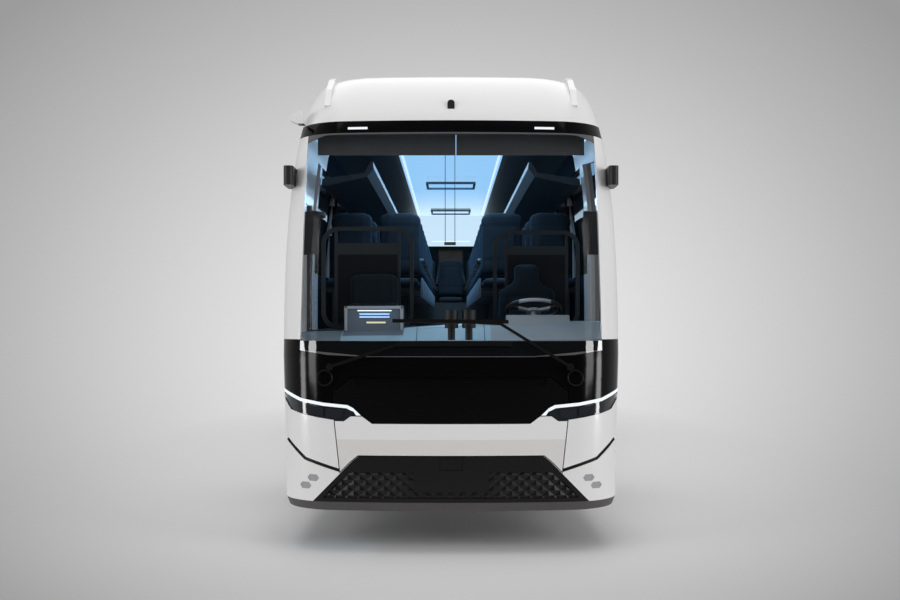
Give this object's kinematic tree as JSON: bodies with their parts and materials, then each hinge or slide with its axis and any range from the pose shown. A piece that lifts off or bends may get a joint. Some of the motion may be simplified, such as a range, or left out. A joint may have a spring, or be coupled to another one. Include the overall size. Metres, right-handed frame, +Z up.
{
  "type": "touring coach",
  "caption": "White two-axle touring coach with a black front mask, swing-out front door, lifting luggage flaps, roof hatches and a fitted cabin",
  "frame": {"origin": "centre of the bounding box, on the ground", "axes": "+Z up; the front faces -Y; +X is on the right of the front view, which is the driver side of the coach"},
  "size_m": [2.5568, 12.1015, 3.7579],
  "materials": {
    "white_paint": "gloss",
    "black_gloss": "gloss",
    "black_plastic": "satin",
    "grey_plastic": "satin",
    "glass": "clear",
    "tinted_glass": "tinted",
    "lamp_lens": "clear",
    "chassis_paint": "satin",
    "cast_iron": "rough",
    "floor_covering": "matt",
    "inner_panel": "matt",
    "dash_plastic": "matt",
    "seat_fabric": "woven",
    "seat_metal": "satin",
    "partition_plastic": "satin",
    "lining": "matt",
    "blind_fabric": "matt",
    "tyre_rubber": "matt",
    "rim_metal": "satin",
    "wiper_black": "satin"
  },
  "bodies": {
    "coach": {"axles": "chassis_paint", "bumper_corners": "white_paint", "bumper_lip": "grey_plastic", "ceiling_and_racks": "lining", "chassis": "chassis_paint", "corner_pillars": "white_paint", "crew_seats": "seat_fabric", "dashboard": "dash_plastic", "engine": "cast_iron", "floor_deck": "floor_covering", "front_panel": "black_gloss", "lamps": "lamp_lens", "lower_grille": "black_plastic", "mirror_cameras": "grey_plastic", "partitions": "partition_plastic", "passenger_seats": "seat_fabric", "rear_panel": "white_paint", "roof": "white_paint", "roof_unit": "white_paint", "seat_frames": "seat_metal", "side_wall_left": "white_paint", "side_wall_right": "white_paint", "skirt_left": "white_paint", "skirt_right": "white_paint", "sun_blinds": "blind_fabric", "underbody": "inner_panel", "window_panes": "tinted_glass", "windscreen": "glass", "wipers": "wiper_black"},
    "steering_wheel": {"steering_wheel": "black_plastic"},
    "knuckle_left": {"knuckle_left": "cast_iron"},
    "knuckle_right": {"knuckle_right": "cast_iron"},
    "wheel_front_left": {"front_tyre_left": "tyre_rubber", "front_rim_left": "rim_metal"},
    "wheel_front_right": {"front_tyre_right": "tyre_rubber", "front_rim_right": "rim_metal"},
    "wheels_rear_left": {"rear_tyres_left": "tyre_rubber", "rear_rims_left": "rim_metal"},
    "wheels_rear_right": {"rear_tyres_right": "tyre_rubber", "rear_rims_right": "rim_metal"},
    "door_arms": {"front_door_arms": "seat_metal"},
    "door_leaf": {"front_door": "white_paint", "front_door_glass": "tinted_glass"},
    "flap_left_1": {"luggage_flap_left_1": "white_paint"},
    "flap_left_2": {"luggage_flap_left_2": "white_paint"},
    "flap_right_1": {"luggage_flap_right_1": "white_paint"},
    "flap_right_2": {"luggage_flap_right_2": "white_paint"},
    "engine_lid": {"engine_lid": "white_paint"},
    "front_flap": {"front_flap": "white_paint"},
    "hatch_front": {"roof_hatch_front": "white_paint"},
    "hatch_rear": {"roof_hatch_rear": "white_paint"}
  },
  "joints": [
    {"name": "steer_left", "type": "hinge", "parent": "coach", "child": "knuckle_left", "pos_m": [0.88, -3.3, 0.518], "axis": [0, 0, 1], "range_deg": [-42, 42]},
    {"name": "steer_right", "type": "hinge", "parent": "coach", "child": "knuckle_right", "pos_m": [-0.88, -3.3, 0.518], "axis": [0, 0, 1], "range_deg": [-42, 42]},
    {"name": "steering_wheel_turn", "type": "hinge", "parent": "coach", "child": "steering_wheel", "pos_m": [0.673, -4.9, 1.77], "axis": [0, 0.342, 0.9397], "range_deg": [-546, 546]},
    {"name": "roll_front_left", "type": "hinge", "parent": "knuckle_left", "child": "wheel_front_left", "pos_m": [1.05, -3.3, 0.518], "axis": [1, 0, 0], "continuous": true},
    {"name": "roll_front_right", "type": "hinge", "parent": "knuckle_right", "child": "wheel_front_right", "pos_m": [-1.05, -3.3, 0.518], "axis": [1, 0, 0], "continuous": true},
    {"name": "roll_rear_left", "type": "hinge", "parent": "coach", "child": "wheels_rear_left", "pos_m": [0.915, 2.79, 0.518], "axis": [1, 0, 0], "continuous": true},
    {"name": "roll_rear_right", "type": "hinge", "parent": "coach", "child": "wheels_rear_right", "pos_m": [-0.915, 2.79, 0.518], "axis": [1, 0, 0], "continuous": true},
    {"name": "door_swing", "type": "hinge", "parent": "coach", "child": "door_arms", "pos_m": [-1.12, -5.18, 1], "axis": [0, 0, 1], "range_deg": [0, 125]},
    {"name": "door_leaf_turn", "type": "hinge", "parent": "door_arms", "child": "door_leaf", "pos_m": [-1.12, -4.72, 1], "axis": [0, 0, 1], "range_deg": [-125, 0]},
    {"name": "luggage_flap_left_1_open", "type": "hinge", "parent": "coach", "child": "flap_left_1", "pos_m": [1.2714, -1.435, 1.326], "axis": [0, -1, 0], "range_deg": [0, 100]},
    {"name": "luggage_flap_left_2_open", "type": "hinge", "parent": "coach", "child": "flap_left_2", "pos_m": [1.2714, 0.924, 1.326], "axis": [0, -1, 0], "range_deg": [0, 100]},
    {"name": "luggage_flap_right_1_open", "type": "hinge", "parent": "coach", "child": "flap_right_1", "pos_m": [-1.2714, -1.435, 1.326], "axis": [0, 1, 0], "range_deg": [0, 100]},
    {"name": "luggage_flap_right_2_open", "type": "hinge", "parent": "coach", "child": "flap_right_2", "pos_m": [-1.2714, 0.924, 1.326], "axis": [0, 1, 0], "range_deg": [0, 100]},
    {"name": "engine_lid_open", "type": "hinge", "parent": "coach", "child": "engine_lid", "pos_m": [0, 6.032, 1.386], "axis": [1, 0, 0], "range_deg": [0, 80]},
    {"name": "front_flap_open", "type": "hinge", "parent": "coach", "child": "front_flap", "pos_m": [0, -5.99, 1.266], "axis": [-1, 0, 0], "range_deg": [0, 75]},
    {"name": "roof_hatch_front_open", "type": "hinge", "parent": "coach", "child": "hatch_front", "pos_m": [0, -0.05, 3.686], "axis": [1, 0, 0], "range_deg": [0, 25]},
    {"name": "roof_hatch_rear_open", "type": "hinge", "parent": "coach", "child": "hatch_rear", "pos_m": [0, 3.95, 3.686], "axis": [1, 0, 0], "range_deg": [0, 25]}
  ],
  "couplings": [
    {"joint": "steer_right", "follows": "steer_left", "ratio": 1},
    {"joint": "steering_wheel_turn", "follows": "steer_left", "ratio": 13},
    {"joint": "door_leaf_turn", "follows": "door_swing", "ratio": -1}
  ]
}
